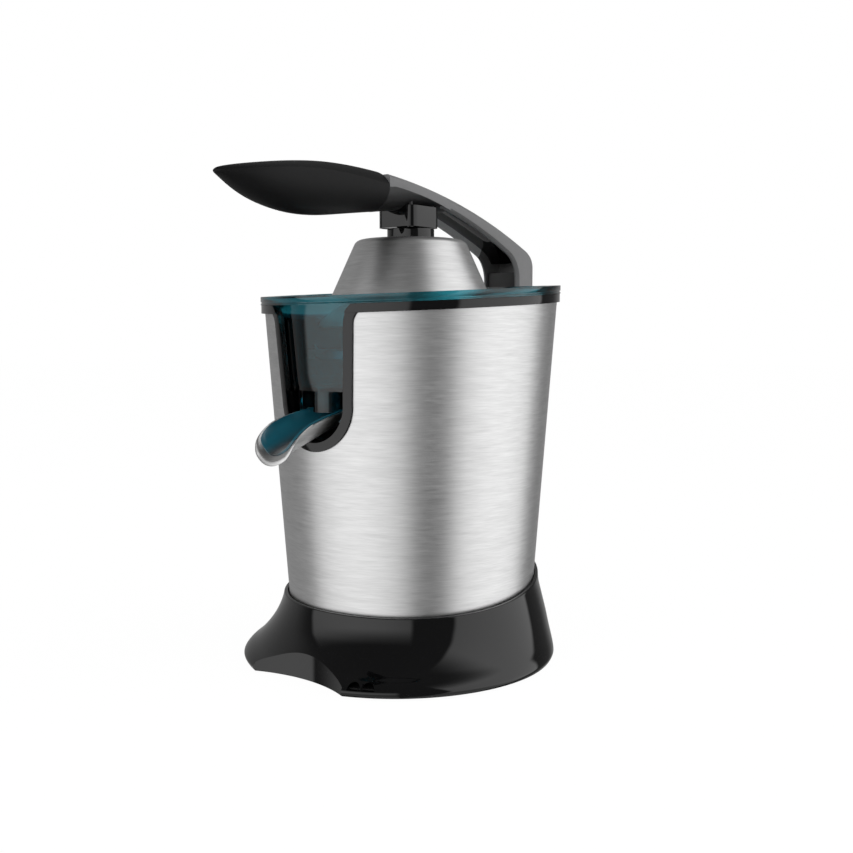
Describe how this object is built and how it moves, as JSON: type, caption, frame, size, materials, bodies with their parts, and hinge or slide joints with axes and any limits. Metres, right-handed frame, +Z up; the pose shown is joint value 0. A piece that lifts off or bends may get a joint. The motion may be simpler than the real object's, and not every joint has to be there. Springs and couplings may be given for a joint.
{
  "type": "citrus press juicer",
  "caption": "Upright electric citrus press with a tapered steel body, flared base, front spout with a drip stop, and a hinged lever that lowers a steel press dome over a ribbed reamer",
  "frame": {"origin": "on the axis of the tapered body, at the table it stands on", "axes": "+Z up along the body axis, -Y to the front with the spout and the grip, +X to the right seen from the front"},
  "size_m": [0.2046, 0.2823, 0.3143],
  "materials": {
    "gloss_black": "polished black moulded plastic",
    "matte_black": "satin black moulded plastic",
    "foot_rubber": "moulded rubber",
    "brushed_steel": "fine horizontal brushing",
    "teal_plastic": "tinted clear moulded plastic",
    "teal_liner": "tinted gloss plastic",
    "lever_grey": "satin grey moulded plastic",
    "soft_grip": "soft-touch coating",
    "zinc_steel": "zinc plated",
    "bronze": "sintered bronze",
    "gear_nylon": "natural nylon",
    "laminated_iron": "stacked laminations",
    "copper": "enamelled copper"
  },
  "bodies": {
    "housing": {"base_skirt": "gloss_black", "base_plate": "matte_black", "rubber_feet": "foot_rubber", "base_screws": "zinc_steel", "cord_grommet": "foot_rubber", "steel_sleeve": "brushed_steel", "front_trim": "gloss_black", "inner_housing": "matte_black", "spindle_bush": "bronze", "shaft_seal": "foot_rubber", "juice_bowl": "teal_plastic", "spout_pins": "zinc_steel", "strainer": "brushed_steel", "hinge_bracket": "matte_black", "bracket_screws": "zinc_steel", "hinge_pin": "zinc_steel", "idler_axle": "zinc_steel", "gear_plate_lower": "zinc_steel", "gear_plate_upper": "zinc_steel", "plate_spacers": "zinc_steel", "plate_bushes": "bronze", "return_spring": "zinc_steel", "stator_core": "laminated_iron", "field_coils": "copper", "motor_bracket": "zinc_steel", "motor_bolts": "zinc_steel", "motor_stand_offs": "zinc_steel", "motor_bushes": "bronze", "brush_holders": "bronze", "micro_switch": "matte_black", "suppressor_capacitor": "gear_nylon", "terminal_block": "gear_nylon"},
    "lever": {"lever_arm": "lever_grey", "lever_grip": "soft_grip", "arm_hub": "gloss_black", "arm_screws": "zinc_steel"},
    "dome": {"press_dome": "brushed_steel", "dome_liner": "matte_black", "dome_collar": "gloss_black"},
    "spout": {"spout_shell": "brushed_steel", "spout_liner": "teal_liner"},
    "output": {"output_gear": "gear_nylon"},
    "spindle": {"drive_spindle": "zinc_steel", "spring_collar": "zinc_steel", "reamer_cone": "matte_black"},
    "idler": {"idler_gear": "gear_nylon"},
    "rotor": {"rotor_core": "laminated_iron", "commutator": "copper", "motor_shaft": "zinc_steel", "motor_pinion": "zinc_steel", "cooling_fan": "matte_black"},
    "plunger": {"switch_plunger": "gear_nylon"}
  },
  "joints": [
    {"name": "lever_hinge", "type": "hinge", "parent": "housing", "child": "lever", "pos_m": [0, 0.1095, 0.236], "axis": [-1, 0, 0], "range_deg": [0, 80]},
    {"name": "dome_swivel", "type": "hinge", "parent": "lever", "child": "dome", "pos_m": [0, 0, 0.28], "axis": [0, 0, 1], "continuous": true},
    {"name": "spout_tilt", "type": "hinge", "parent": "housing", "child": "spout", "pos_m": [0, -0.076, 0.164], "axis": [-1, 0, 0], "range_deg": [0, 28]},
    {"name": "output_spin", "type": "hinge", "parent": "housing", "child": "output", "pos_m": [0, 0, 0.115], "axis": [0, 0, 1], "continuous": true},
    {"name": "spindle_press", "type": "slide", "parent": "output", "child": "spindle", "axis": [0, 0, -1], "range_m": [0, 0.003], "stiffness_N_per_m": 1500, "springref_m": -0.004, "deforming": ["return_spring"]},
    {"name": "idler_spin", "type": "hinge", "parent": "housing", "child": "idler", "pos_m": [-0.045, 0, 0.105], "axis": [0, 0, 1], "continuous": true},
    {"name": "motor_spin", "type": "hinge", "parent": "housing", "child": "rotor", "pos_m": [-0.02432, 0.03424, 0.05], "axis": [0, 0, 1], "continuous": true},
    {"name": "switch_press", "type": "slide", "parent": "housing", "child": "plunger", "axis": [0, 0, -1], "range_m": [0, 0.003]}
  ],
  "couplings": [
    {"joint": "idler_spin", "follows": "output_spin", "ratio": -3.5},
    {"joint": "motor_spin", "follows": "output_spin", "ratio": 14},
    {"joint": "switch_press", "follows": "spindle_press", "ratio": 1}
  ]
}
